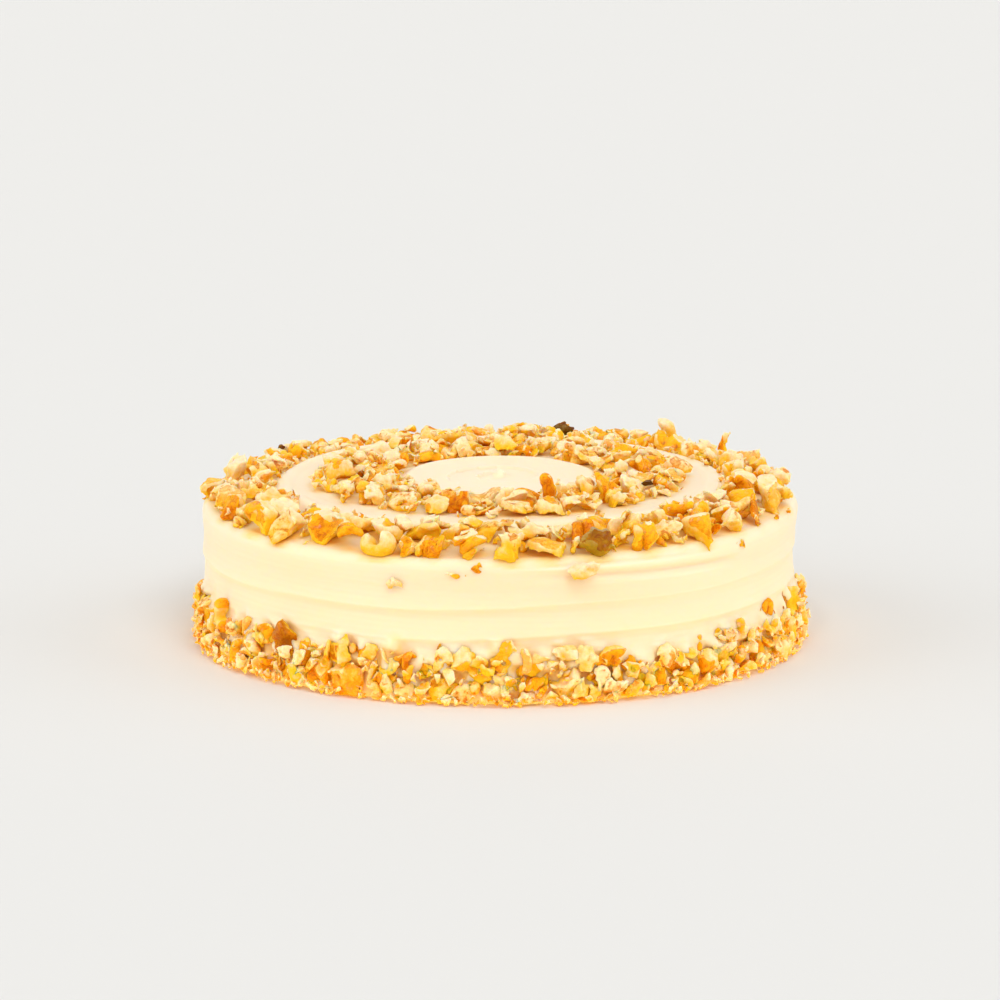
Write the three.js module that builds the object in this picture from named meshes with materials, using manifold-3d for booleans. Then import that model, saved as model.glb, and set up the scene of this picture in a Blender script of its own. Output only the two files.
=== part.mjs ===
// A round carrot cake under cream cheese frosting, dressed with three bands of chopped walnuts: one round the
// shoulder, one on the top and one pressed in round the foot.
// Millimetres, +Z up. The origin is the middle of the flat underside. Angles run from the front, -Y, towards +X.
import * as THREE from "three";
import { ConvexGeometry } from "three/addons/geometries/ConvexGeometry.js";
import { mergeVertices } from "three/addons/utils/BufferGeometryUtils.js";
import Module from "manifold-3d";

const wasm = await Module();
wasm.setup();

// ---------------------------------------------------------------- driving dimensions
const SIDE_RADIUS = 103.4; // frosted side, halfway up
const SIDE_FLARE = 1.4; // how much wider the side is at the rim than at the foot
const RIM_HEIGHT = 47; // where the side turns into the bevel of the rim
const TOP_HEIGHT = 55; // floor of the top, under the walnuts of the inner band
const BED_HEIGHT = 53.4; // bed of the outer band, where it meets the plateau
const RIM_TOP = 50; // where the bevel ends and the bed of the outer band begins
const DISC_RADIUS = 32; // bare disc of frosting in the middle
const PLATEAU_RADIUS = 76.5; // edge of the plateau, inside the outer band
const RIDGE_PITCH = 10.4; // one turn of the spatula ridge that winds up the side
const RIDGE_START = 22.6; // height of that ridge at the front
const RIDGE_DEPTH = 1.5; // how far its lip stands out of the groove under it
const TILT = 0.7; // the top runs up from left to right by this much each way
const LUMP = 0.35; // how uneven the hand-spread frosting is
const GAP = 0.3; // air between walnuts and frosting
const SUNK = 1.5; // how deep a band starts in the frosting before it is cut back to it

const OUTER_BAND = { inner: 78.5, outer: 100, core: 3.4, count: 82, largest: 15, seed: 11 };
const INNER_BAND = { inner: 36, outer: 64, core: 3, count: 49, largest: 14.5, seed: 23 };
const FOOT_BAND = { core: 3, reach: 109.6, count: 70, largest: 14, seed: 37 };
const SKYLINE = 19; // mean height that the foot band climbs to
const SKYLINE_WAVES = 4; // how far it dips and peaks about that

const COLUMNS = 48; // facets round the cake
const FULL_TURN = 2 * Math.PI;

// ---------------------------------------------------------------- frosting form
const fraction = (x) => x - Math.floor(x);
const smooth = (from, to, x) => THREE.MathUtils.smoothstep(x, from, to);

// The ridge is one helix: its lip stands out at the line, and the face above it leans back to the next groove.
const LEDGE = 0.2; // share of a turn between a groove and the lip above it
function ridge(angle, z) {
  const turn = fraction((z - RIDGE_START) / RIDGE_PITCH - angle / FULL_TURN);
  const lean = turn < 1 - LEDGE ? 1 - turn / (1 - LEDGE) : (turn - 1 + LEDGE) / LEDGE;
  return RIDGE_DEPTH * smooth(0, 1, lean) * smooth(4, 16, z) * (1 - 0.5 * smooth(36, RIM_HEIGHT, z));
}

// Radius of the side at an angle and a height.
function sideRadius(angle, z) {
  const flare = SIDE_FLARE * (z / RIM_HEIGHT - 0.5);
  const wobble = Math.sin(3 * angle + 1.1) + 0.7 * Math.sin(5 * angle + z / 9);
  return SIDE_RADIUS - RIDGE_DEPTH / 2 + flare + LUMP * wobble + ridge(angle, z);
}

// How far the top stands above its own profile at an angle and a radius.
function topLift(angle, r) {
  const wobble = Math.sin(2 * angle + 0.7) + 0.6 * Math.sin(5 * angle);
  return (r / SIDE_RADIUS) * (TILT * Math.sin(angle) + LUMP * wobble);
}

// Profile of the top, from the middle out to the foot of the rim's bevel: a dished disc, the bed of the inner
// band, the plateau with its raised edge, and the bed of the outer band sloping to the rim.
const TOP_PROFILE = [
  [0, TOP_HEIGHT + 2.2],
  [5, TOP_HEIGHT + 1.5],
  [16, TOP_HEIGHT + 1.1],
  [DISC_RADIUS - 4, TOP_HEIGHT + 1.8],
  [DISC_RADIUS, TOP_HEIGHT + 2.4],
  [DISC_RADIUS + 4, TOP_HEIGHT + 1],
  [DISC_RADIUS + 8, TOP_HEIGHT + 0.3],
  [52, TOP_HEIGHT],
  [63, TOP_HEIGHT + 0.4],
  [70, TOP_HEIGHT + 0.2],
  [PLATEAU_RADIUS - 1, TOP_HEIGHT + 0.8],
  [PLATEAU_RADIUS + 1.2, TOP_HEIGHT - 0.1],
  [PLATEAU_RADIUS + 3.5, BED_HEIGHT + 0.3],
  [84, BED_HEIGHT - 0.6],
  [92, BED_HEIGHT - 2],
  [99, RIM_TOP],
  [101.6, RIM_HEIGHT + 1.8],
];

// Height of the top at an angle and a radius.
function topHeight(angle, r) {
  const next = Math.max(1, TOP_PROFILE.findIndex(([radius]) => radius >= r));
  const [r0, z0] = TOP_PROFILE[next - 1];
  const [r1, z1] = TOP_PROFILE[next];
  return THREE.MathUtils.mapLinear(r, r0, r1, z0, z1) + topLift(angle, r);
}

// Turns a profile round the cake's axis. place(angle, point) says at which radius and height each of its points
// really goes.
function turned(profile, place) {
  const points = profile.map(([r, z]) => new THREE.Vector2(r, z));
  const geometry = new THREE.LatheGeometry(points, COLUMNS);
  const position = geometry.getAttribute("position");
  for (let column = 0; column <= COLUMNS; column++) {
    const angle = (FULL_TURN * column) / COLUMNS - Math.PI;
    profile.forEach((point, row) => {
      const [r, z] = place(angle, point);
      position.setXYZ(column * profile.length + row, r * Math.sin(angle), -r * Math.cos(angle), z);
    });
  }
  return geometry;
}

// ---------------------------------------------------------------- solids
// A closed geometry as a solid that can be joined and cut.
function solid(geometry) {
  const bare = geometry.clone();
  bare.deleteAttribute("normal");
  bare.deleteAttribute("uv");
  const merged = mergeVertices(bare, 1e-4);
  return new wasm.Manifold(
    new wasm.Mesh({
      numProp: 3,
      vertProperties: new Float32Array(merged.getAttribute("position").array),
      triVerts: new Uint32Array(merged.index.array),
    }),
  );
}

// A solid as a named mesh.
function meshOf(name, manifold, material) {
  const made = manifold.getMesh();
  const geometry = new THREE.BufferGeometry();
  geometry.setAttribute("position", new THREE.BufferAttribute(made.vertProperties, 3));
  geometry.setIndex(new THREE.BufferAttribute(made.triVerts, 1));
  geometry.computeVertexNormals();
  const mesh = new THREE.Mesh(geometry, material);
  mesh.name = name;
  return mesh;
}

// The largest body of a solid: what a cut leaves loose beside it is dropped.
function largestBody(manifold) {
  return manifold.decompose().sort((a, b) => b.volume() - a.volume())[0];
}

// ---------------------------------------------------------------- frosted cake
const SIDE_ROW = 2.2; // height of a row of facets on the side that shows
const FOOT_ROWS = [0, 5, 10]; // rows behind the foot band
const BEVEL = [
  [SIDE_RADIUS + 0.3, RIM_HEIGHT - 0.6],
  [SIDE_RADIUS - 0.5, RIM_HEIGHT + 0.6],
];

// The whole frosted cake as a closed surface, grown by a margin all over apart from its underside.
function frosting(margin) {
  const sideRows = [...FOOT_ROWS];
  for (let z = 14; z < RIM_HEIGHT - 1; z += SIDE_ROW) sideRows.push(z);
  const profile = [
    [0, 0, "base"],
    ...sideRows.map((z) => [SIDE_RADIUS, z, "side"]),
    ...BEVEL.map(([r, z]) => [r, z, "bevel"]),
    ...TOP_PROFILE.toReversed().map(([r, z]) => [r, z, "top"]),
  ];
  return turned(profile, (angle, [r, z, part]) => {
    if (part === "base") return [0, -margin];
    if (part === "side") return [sideRadius(angle, z) + margin, z === 0 ? -margin : z];
    const out = part === "bevel" ? sideRadius(angle, z) - SIDE_RADIUS + margin : 0;
    return [r + out, z + topLift(angle, r) + margin];
  });
}

const cake = solid(frosting(0));
const keptClear = solid(frosting(GAP));

// ---------------------------------------------------------------- chopped walnuts
// A small generator of even random numbers from 0 to 1, the same on every run.
function randomFrom(seed) {
  let state = seed;
  return () => {
    state = (state + 0x6d2b79f5) | 0;
    let t = Math.imul(state ^ (state >>> 15), 1 | state);
    t = (t + Math.imul(t ^ (t >>> 7), 61 | t)) ^ t;
    return ((t ^ (t >>> 14)) >>> 0) / 4294967296;
  };
}

// One broken piece of walnut: the hull of a few corners on a squashed ball, so it has flat broken faces.
const CORNERS = 8;
function chunk(random, size) {
  const half = new THREE.Vector3(0.6, 0.46, 0.32 + 0.12 * random()).multiplyScalar(size);
  const corners = [];
  for (let i = 0; i < CORNERS; i++) {
    const height = 1 - (2 * (i + 0.5)) / CORNERS;
    const around = i * 2.4 + random();
    const flat = Math.sqrt(1 - height * height);
    const corner = new THREE.Vector3(flat * Math.cos(around), flat * Math.sin(around), height);
    corners.push(corner.multiply(half).multiplyScalar(0.82 + 0.18 * random()));
  }
  return new ConvexGeometry(corners);
}

// Step across a band from one chunk to the next: the golden section, so that neighbours never line up.
const STEP_ACROSS = (Math.sqrt(5) - 1) / 2;

// Chunks laid evenly over a band, one after the other round the cake. bed(angle, across, random, size) gives the
// middle of each as [radius, height].
function chunks(band, bed) {
  const random = randomFrom(band.seed);
  const laid = [];
  for (let k = 0; k < band.count; k++) {
    const angle = (FULL_TURN * (k + 0.4 * random())) / band.count;
    const across = fraction(k * STEP_ACROSS);
    const size = band.largest * (1 - 0.42 * random() ** 0.8);
    const geometry = chunk(random, size);
    geometry.rotateX(0.9 * (random() - 0.5));
    geometry.rotateY(0.9 * (random() - 0.5));
    geometry.rotateZ(FULL_TURN * random());
    const [r, z] = bed(angle, across, random, size);
    geometry.translate(r * Math.sin(angle), -r * Math.cos(angle), z);
    laid.push(solid(geometry));
  }
  return laid;
}

// A band that lies on the top: a low core over its bed with the chunks fused on.
function bandOnTop(band) {
  const bevel = 3;
  const profile = [
    [band.inner, -SUNK],
    [band.outer, -SUNK],
    [band.outer - bevel, band.core],
    [band.inner + bevel, band.core],
    [band.inner, -SUNK],
  ];
  const heaped = (angle) => 1 + 0.2 * Math.sin(13 * angle) + 0.15 * Math.sin(21 * angle + 1);
  const core = solid(turned(profile, (angle, [r, rise]) => [r, topHeight(angle, r) + rise * heaped(angle)]));
  const laid = chunks(band, (angle, across, random, size) => {
    const r = THREE.MathUtils.lerp(band.inner + 0.25 * size, band.outer - 0.25 * size, across);
    return [r, topHeight(angle, r) + 0.8 * band.core + size * (0.04 + 0.16 * random())];
  });
  return wasm.Manifold.union([core, ...laid]);
}

// Height of the foot band at an angle. It climbs higher at both sides than in front.
function skyline(angle) {
  const waves = 0.5 * Math.sin(9 * angle + 0.4) + 0.3 * Math.sin(14 * angle + 2) - 0.4 * Math.cos(2 * angle);
  return SKYLINE + SKYLINE_WAVES * waves;
}

// The band round the foot: a wedge against the side with the chunks fused on up to an uneven skyline.
function bandAtFoot(band) {
  const thin = 0.9;
  const profile = [
    [-SUNK, 0],
    [band.core, 0],
    [0.8 * band.core, 0.3],
    [thin, 0.7],
    [-SUNK, 0.8],
    [-SUNK, 0],
  ];
  const wedge = solid(
    turned(profile, (angle, [out, share]) => {
      const z = share * skyline(angle);
      return [sideRadius(angle, z) + out, z];
    }),
  );
  const laid = chunks(band, (angle, across, random, size) => {
    const z = THREE.MathUtils.lerp(0.3 * size, skyline(angle) - 0.35 * size, across);
    return [band.reach - 2 * across - 0.42 * size, z];
  });
  return wasm.Manifold.union([wedge, ...laid]);
}

const FLOOR_SIDE = 400;
const floor = solid(
  new THREE.BoxGeometry(FLOOR_SIDE, FLOOR_SIDE, FLOOR_SIDE / 4).translate(0, 0, -FLOOR_SIDE / 8),
);
const fitted = (band) => largestBody(band.subtract(keptClear).subtract(floor));

// ---------------------------------------------------------------- materials and model
const frostingFinish = new THREE.MeshStandardMaterial({ color: 0xfff3cf, roughness: 0.5, metalness: 0 });
const walnutFinish = new THREE.MeshStandardMaterial({ color: 0xe0a860, roughness: 0.65, metalness: 0 });

const carrotCake = new THREE.Group();
carrotCake.add(
  meshOf("frosted_cake", cake, frostingFinish),
  meshOf("outer_walnut_band", fitted(bandOnTop(OUTER_BAND)), walnutFinish),
  meshOf("inner_walnut_band", fitted(bandOnTop(INNER_BAND)), walnutFinish),
  meshOf("foot_walnut_band", fitted(bandAtFoot(FOOT_BAND)), walnutFinish),
);

export default carrotCake;
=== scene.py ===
"""A carrot cake under cream cheese frosting, dressed with three bands of chopped walnuts.

Laid out as an add-on and run as a script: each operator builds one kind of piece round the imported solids.
Angles run from the front, -Y, towards +X, in radians. Shapes are worked out in millimetres.
"""
from math import cos, pi, radians, sin, sqrt, tau
from typing import NamedTuple

import bpy
import numpy as np
from bpy.props import FloatProperty, FloatVectorProperty, IntProperty, PointerProperty
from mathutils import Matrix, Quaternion, Vector


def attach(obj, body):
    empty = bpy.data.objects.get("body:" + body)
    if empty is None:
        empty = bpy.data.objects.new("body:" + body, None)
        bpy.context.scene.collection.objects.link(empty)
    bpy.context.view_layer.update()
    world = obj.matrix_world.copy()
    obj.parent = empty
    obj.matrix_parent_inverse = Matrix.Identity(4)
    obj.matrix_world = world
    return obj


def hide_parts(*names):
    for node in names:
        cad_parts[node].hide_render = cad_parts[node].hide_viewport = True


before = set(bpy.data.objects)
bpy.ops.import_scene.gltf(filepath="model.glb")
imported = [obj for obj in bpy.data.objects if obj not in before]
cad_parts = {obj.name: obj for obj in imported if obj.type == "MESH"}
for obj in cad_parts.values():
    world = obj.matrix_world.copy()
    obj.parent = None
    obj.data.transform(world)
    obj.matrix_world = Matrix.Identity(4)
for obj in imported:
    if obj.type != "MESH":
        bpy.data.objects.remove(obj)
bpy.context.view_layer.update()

bl_info = {
    "name": "Walnut Carrot Cake",
    "version": (1, 0, 0),
    "blender": (4, 5, 0),
    "location": "3D View > Sidebar > Cake",
    "description": "Builds a frosted carrot cake with bands of chopped walnuts",
    "category": "Add Mesh",
}

MM = 0.001


# ------------------------------------------------------------ sizes and colours that a user would change
def length(name, description, millimetres):
    return FloatProperty(
        name=name, description=description, default=millimetres * MM, unit="LENGTH", subtype="DISTANCE"
    )


def colour(name, description, default):
    return FloatVectorProperty(
        name=name, description=description, default=default, subtype="COLOR", size=3, min=0, max=1
    )


def strength(name, description, default):
    return FloatProperty(name=name, description=description, default=default, min=0)


def whole_number(name, description, default):
    return IntProperty(name=name, description=description, default=default, min=0)


class FrostingSettings(bpy.types.PropertyGroup):
    """Sizes and colours of the frosting."""

    side_radius: length("Side radius", "Frosted side, halfway up", 103.4)
    rim_height: length("Rim height", "Height of the rim that runs round the top", 47)
    top_height: length("Top height", "Floor of the top, under the inner walnuts", 55)
    ridge_pitch: length("Ridge pitch", "Rise of one turn of the spatula ridge on the side", 10.4)
    ridge_start: length("Ridge start", "Height of the spatula ridge at the front", 22.6)
    ridge_depth: length("Ridge depth", "How far the lip of the ridge stands out of its groove", 1.0)
    cream: colour("Cream", "Colour of the frosting", (0.93, 0.765, 0.55))
    # stained cream: walnut stain and painted warm bounce light on the frosting close to the walnuts
    stain_and_bounce_cream: colour("Stained cream", "Colour of the frosting close to the walnuts", (0.98, 0.67, 0.25))
    # soaked cream: painted warm shade on the frosting in the gaps between the walnuts
    painted_gap_shade_cream: colour("Soaked cream", "Colour of the frosting between the walnuts", (0.95, 0.5, 0.06))


class WalnutSettings(bpy.types.PropertyGroup):
    """How the chopped walnuts are laid, and their colours."""

    outer_count: whole_number("Outer band", "Pieces on the shoulder", 460)
    inner_count: whole_number("Inner band", "Pieces round the middle", 340)
    foot_count: whole_number("Foot band", "Pieces round the foot", 760)
    crumb_count: whole_number("Crumbs", "Crumbs and flakes", 3000)
    seed: whole_number("Seed", "Another number lays the pieces anew", 5)
    pale: colour("Pale flesh", "Colour of a fresh broken face", (0.91, 0.758, 0.48))
    tan: colour("Tan flesh", "Colour of toasted flesh", (0.92, 0.52, 0.016))
    amber: colour("Amber skin", "Colour of light skin", (0.9, 0.365, 0.003))
    brown: colour("Brown skin", "Colour of dark skin and its veins", (0.58, 0.136, 0.001))


class StageSettings(bpy.types.PropertyGroup):
    """Where the camera stands, and the light."""

    distance: length("Camera distance", "From the middle of the underside", 2000)
    elevation: FloatProperty(
        name="Elevation", description="Camera above the floor", default=radians(13.37), subtype="ANGLE"
    )
    aim_height: length("Aim height", "Height on the cake's axis that the camera looks at", 48)
    lens: FloatProperty(name="Lens", description="Focal length", default=204.2, subtype="DISTANCE_CAMERA")
    key_power: strength("Key", "Strength of the soft suns", 1.06)
    bounce_power: strength("Bounce", "Strength of the warm card at the foot", 0.17)
    sky_power: strength("Sky", "Strength of the even light all round", 0.6)


# ------------------------------------------------------------------ shader maths
class Value:
    """A node's output that the usual operators work on. Each of them adds one Math node."""

    def __init__(self, finish, socket):
        self.finish = finish
        self.socket = socket

    def math(self, operation, *others):
        return self.finish.add("ShaderNodeMath", {"operation": operation}, [self, *others])

    def __add__(self, other):
        return self.math("ADD", other)

    def __sub__(self, other):
        return self.math("SUBTRACT", other)

    def __mul__(self, other):
        return self.math("MULTIPLY", other)

    def __truediv__(self, other):
        return self.math("DIVIDE", other)

    def __rsub__(self, other):
        return self.finish.add("ShaderNodeMath", {"operation": "SUBTRACT"}, [other, self])

    def __rtruediv__(self, other):
        return self.finish.add("ShaderNodeMath", {"operation": "DIVIDE"}, [other, self])

    __radd__ = __add__
    __rmul__ = __mul__

    def between(self, low, high):
        """0 below low, 1 above high and a smooth rise from one to the other."""
        settings = {"interpolation_type": "SMOOTHSTEP"}
        values = {"Value": self, "From Min": low, "From Max": high}
        return self.finish.add("ShaderNodeMapRange", settings, values)


class Finish:
    """A material, with one method that adds any node to it."""

    def __init__(self, name, uniform):
        self.material = bpy.data.materials.new(name)
        self.material.use_nodes = True
        self.tree = self.material.node_tree
        self.shader = self.tree.nodes["Principled BSDF"]
        for label, number in uniform.items():
            self.shader.inputs[label].default_value = number

    def feed(self, socket, value):
        """Links a value to a socket, or sets the socket to a plain number or colour."""
        if isinstance(value, Value):
            self.tree.links.new(value.socket, socket)
        else:
            socket.default_value = value

    def add(self, kind, settings, values, output=0):
        """Adds a node, sets it up, feeds its inputs and gives back one of its outputs."""
        node = self.tree.nodes.new(kind)
        for name, setting in settings.items():
            setattr(node, name, setting)
        pairs = values.items() if isinstance(values, dict) else enumerate(values)
        for key, value in pairs:
            self.feed(node.inputs[key], value)
        return Value(self, node.outputs[output])

    def mix(self, factor, first, second):
        """A colour between two others. The Mix node's inputs share their names, so they go by number."""
        values = {0: factor, 6: first, 7: second}
        return self.add("ShaderNodeMix", {"data_type": "RGBA"}, values, output=2)

    def attribute(self, name):
        return self.add("ShaderNodeAttribute", {"attribute_name": name}, {}, output="Fac")

    def noise(self, where, scale, detail=2.0, roughness=0.5, distortion=0.0):
        values = {
            "Vector": where,
            "Scale": scale,
            "Detail": detail,
            "Roughness": roughness,
            "Distortion": distortion,
        }
        return self.add("ShaderNodeTexNoise", {}, values)

    def bump(self, height, distance, strength=1.0):
        values = {"Height": height, "Distance": distance, "Strength": strength}
        return self.add("ShaderNodeBump", {}, values)

    def paint(self, **sockets):
        """Feeds the shader's own inputs and gives back the finished material."""
        for label, value in sockets.items():
            self.feed(self.shader.inputs[label.replace("_", " ")], value)
        return self.material


def opaque(rgb):
    """A colour as colour inputs want it."""
    return (*rgb, 1.0)


CHARRED = (0.03, 0.012, 0.004)
PALE_FLOOR = (0.74, 0.74, 0.73)
VEIN_SHARPNESS = 16
EDGE_SHARPNESS = 9


def frosting_finish(settings):
    """Soft cream with the fine streaks of the spatula, warmer where walnuts lie against it: partly walnut
    stain, partly painted warm bounce light and painted warm shade.
    """
    finish = Finish(
        "cream_cheese_frosting",
        {
            "Subsurface Weight": 0.9,
            "Subsurface Radius": (1.0, 0.9, 0.5),
            "Subsurface Scale": 0.0055,
            "Specular IOR Level": 0.3,
            "Sheen Weight": 0.06,
            "Sheen Roughness": 0.4,
        },
    )
    where = finish.add("ShaderNodeTexCoord", {}, {}, output="Object")
    x, y, z = (finish.add("ShaderNodeSeparateXYZ", {}, [where], output=axis) for axis in "XYZ")
    r = (x * x + y * y + 1e-6).math("SQRT")
    round_streaks, across_streaks = 5.0, 520.0
    drawn = finish.add(
        "ShaderNodeCombineXYZ",
        {},
        [x / r * round_streaks, y / r * round_streaks, (z - r) * across_streaks],
    )
    streaks = finish.noise(drawn, 1.0, detail=3.0, roughness=0.55)
    patches = finish.noise(where, 22.0, detail=1.0)
    pores = finish.noise(where, 700.0, detail=2.0)
    # walnut stain and painted warm bounce light where walnuts lie close
    stain_and_bounce = finish.attribute("stain_and_bounce") * (0.65 + finish.noise(where, 260.0, detail=2.0) * 0.7)
    tint = finish.mix(patches * 0.16, opaque(settings.cream), opaque(settings.stain_and_bounce_cream))
    relief = streaks * 0.7 + pores * 0.12
    near = finish.mix(stain_and_bounce, tint, opaque(settings.stain_and_bounce_cream))
    return finish.paint(
        # painted warm shade where walnuts cover all round
        Base_Color=finish.mix(finish.attribute("painted_gap_shade") * 0.9, near, opaque(settings.painted_gap_shade_cream)),
        Roughness=0.42 + streaks * 0.16,
        Normal=finish.bump(relief, 0.00012, 0.6),
    )


# toasted makes a finish golden all over; for the walnuts round the foot it is painted warm bounce light
def walnut_finish(settings, name, soft_depth, toasted):
    """Pale broken faces that turn golden low down and deep in the heap as painted warm shade, amber to brown
    veined skin, and a few dark pieces.
    """
    finish = Finish(
        name,
        {
            "Subsurface Weight": 0.75,
            "Subsurface Radius": (1.0, 0.45, 0.15),
            "Subsurface Scale": soft_depth,
            "Specular IOR Level": 0.06,
            "Coat Roughness": 0.22,
        },
    )
    where = finish.add("ShaderNodeTexCoord", {}, {}, output="Object")
    tone = finish.attribute("tone")
    dark = finish.attribute("dark")
    # deep: painted warm shade, 1 low in a piece and deep in the heap
    deep = finish.attribute("deep")
    hollow = finish.attribute("hollow")
    clouds = finish.noise(where, 170.0, detail=3.0, roughness=0.55)
    mottle = finish.noise(where, 430.0, detail=3.0, roughness=0.6)
    grain = finish.noise(where, 900.0, detail=3.0, roughness=0.65)
    wrinkles = finish.noise(where, 300.0, detail=2.0, roughness=0.6, distortion=0.8)
    drift, speckle = clouds - 0.5, mottle - 0.5
    # groove and crest: painted shade in creases and painted light on crests
    groove = hollow.between(0.02, 0.28)
    crest = (0 - hollow).between(0.16, 0.5)
    cover = finish.attribute("skin") + drift * 0.3 + speckle * 0.5 - crest * 0.15
    skin = cover.between(0.3, 0.7)
    edge = (1 - (cover - 0.5).math("ABSOLUTE") * EDGE_SHARPNESS).between(0.1, 1.0)
    edge = edge * mottle.between(0.4, 0.6)
    # golden flesh: random toasting, with painted warm shade low down, deep in the heap and in creases, and
    # painted light on crests
    toast_and_shade = deep * 1.1 + tone * 0.7 + drift * 1.3 + speckle * 1.1
    toast_and_shade = toast_and_shade + groove * 0.5 - crest * 0.35
    golden = (toast_and_shade - 0.28 + toasted).between(-0.15, 1.0)
    flesh = finish.mix(golden, opaque(settings.pale), opaque(settings.tan))
    veins = (1 - (wrinkles - 0.5).math("ABSOLUTE") * VEIN_SHARPNESS).between(0.0, 1.0)
    # amber skin: random tone, with painted warm shade low down and deep in the heap
    amber_and_shade = deep * 0.6 + drift * 1.8 + speckle * 1.6 + tone * 0.9 - 0.05 + toasted
    # pale skin: random wear, with painted light on crests and less of it in the painted shade
    worn_and_lit = speckle * 1.8 + drift * 1.4 + crest * 0.5 - tone * 0.7 - deep * 0.4
    # brown skin: tone and veins, with painted shade in creases and deep in the heap
    brown_and_crease_shade = tone * 0.8 + drift * 1.2 + speckle * 0.8 + veins * 0.35
    brown_and_crease_shade = brown_and_crease_shade + groove * 0.6 - crest * 0.4
    light_hide = finish.mix(amber_and_shade.between(0.0, 1.0), opaque(settings.tan), opaque(settings.amber))
    worn_and_lit_hide = finish.mix(worn_and_lit.between(-0.2, 0.5) * 0.7, light_hide, opaque(settings.pale))
    dark_hide = (brown_and_crease_shade + deep * 0.25 - 0.36).between(0.0, 1.0)
    hide = finish.mix(dark_hide, worn_and_lit_hide, opaque(settings.brown))
    bare = finish.mix(edge * 0.75, finish.mix(skin, flesh, hide), opaque(settings.brown))
    burnt = finish.mix(dark * (0.7 + clouds * 0.6), bare, opaque(CHARRED))
    cells = {"Vector": where, "Scale": 620.0}
    chips = finish.add("ShaderNodeTexVoronoi", {}, cells, "Distance")
    relief = grain * 0.5 + wrinkles * skin * 1.3 + chips * (1 - skin * 0.8) * 0.7 + clouds * 0.4
    return finish.paint(
        Base_Color=burnt,
        Roughness=0.6 - skin * 0.2,
        Coat_Weight=skin * mottle.between(0.54, 0.62) * 0.6,
        Normal=finish.bump(relief, 0.0005, 0.9),
    )


def floor_finish():
    """Plain pale floor with a faint unevenness in its gloss."""
    finish = Finish("pale_floor", {"Base Color": opaque(PALE_FLOOR), "Specular IOR Level": 0.1})
    where = finish.add("ShaderNodeTexCoord", {}, {}, output="Object")
    return finish.paint(Roughness=0.7 + finish.noise(where, 8.0) * 0.1)


# ------------------------------------------------------------------ meshes
def put(name, data):
    """A new object in the scene."""
    thing = bpy.data.objects.new(name, data)
    bpy.context.scene.collection.objects.link(thing)
    return thing


def piece(name, points, faces, node_names, finish, values):
    """Makes a piece from points in millimetres, with one number a point for each name in values."""
    mesh = bpy.data.meshes.new(name)
    mesh.from_pydata((np.asarray(points) * MM).tolist(), [], faces)
    mesh.update()
    for label, numbers in values.items():
        attribute = mesh.attributes.new(label, "FLOAT", "POINT")
        attribute.data.foreach_set("value", np.asarray(numbers, np.float32))
    mesh.shade_smooth()
    mesh.materials.append(finish)
    thing = put(name, mesh)
    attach(thing, "root")
    if node_names:
        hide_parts(*node_names)
    return thing


def around(angle, r, z):
    """Points at an angle, a radius and a height."""
    return np.stack([r * np.sin(angle), -r * np.cos(angle), z + 0 * r], axis=-1)


def smooth(low, high, value):
    """0 below low, 1 above high and a smooth rise from one to the other."""
    t = np.clip((value - low) / (high - low), 0, 1)
    return t * t * (3 - 2 * t)


def mean_around(field, steps):
    """Each cell's mean over the square of cells that reaches this many steps to each side."""
    for axis in (0, 1):
        field = sum(np.roll(field, step, axis) for step in range(-steps, steps + 1)) / (2 * steps + 1)
    return field


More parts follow.
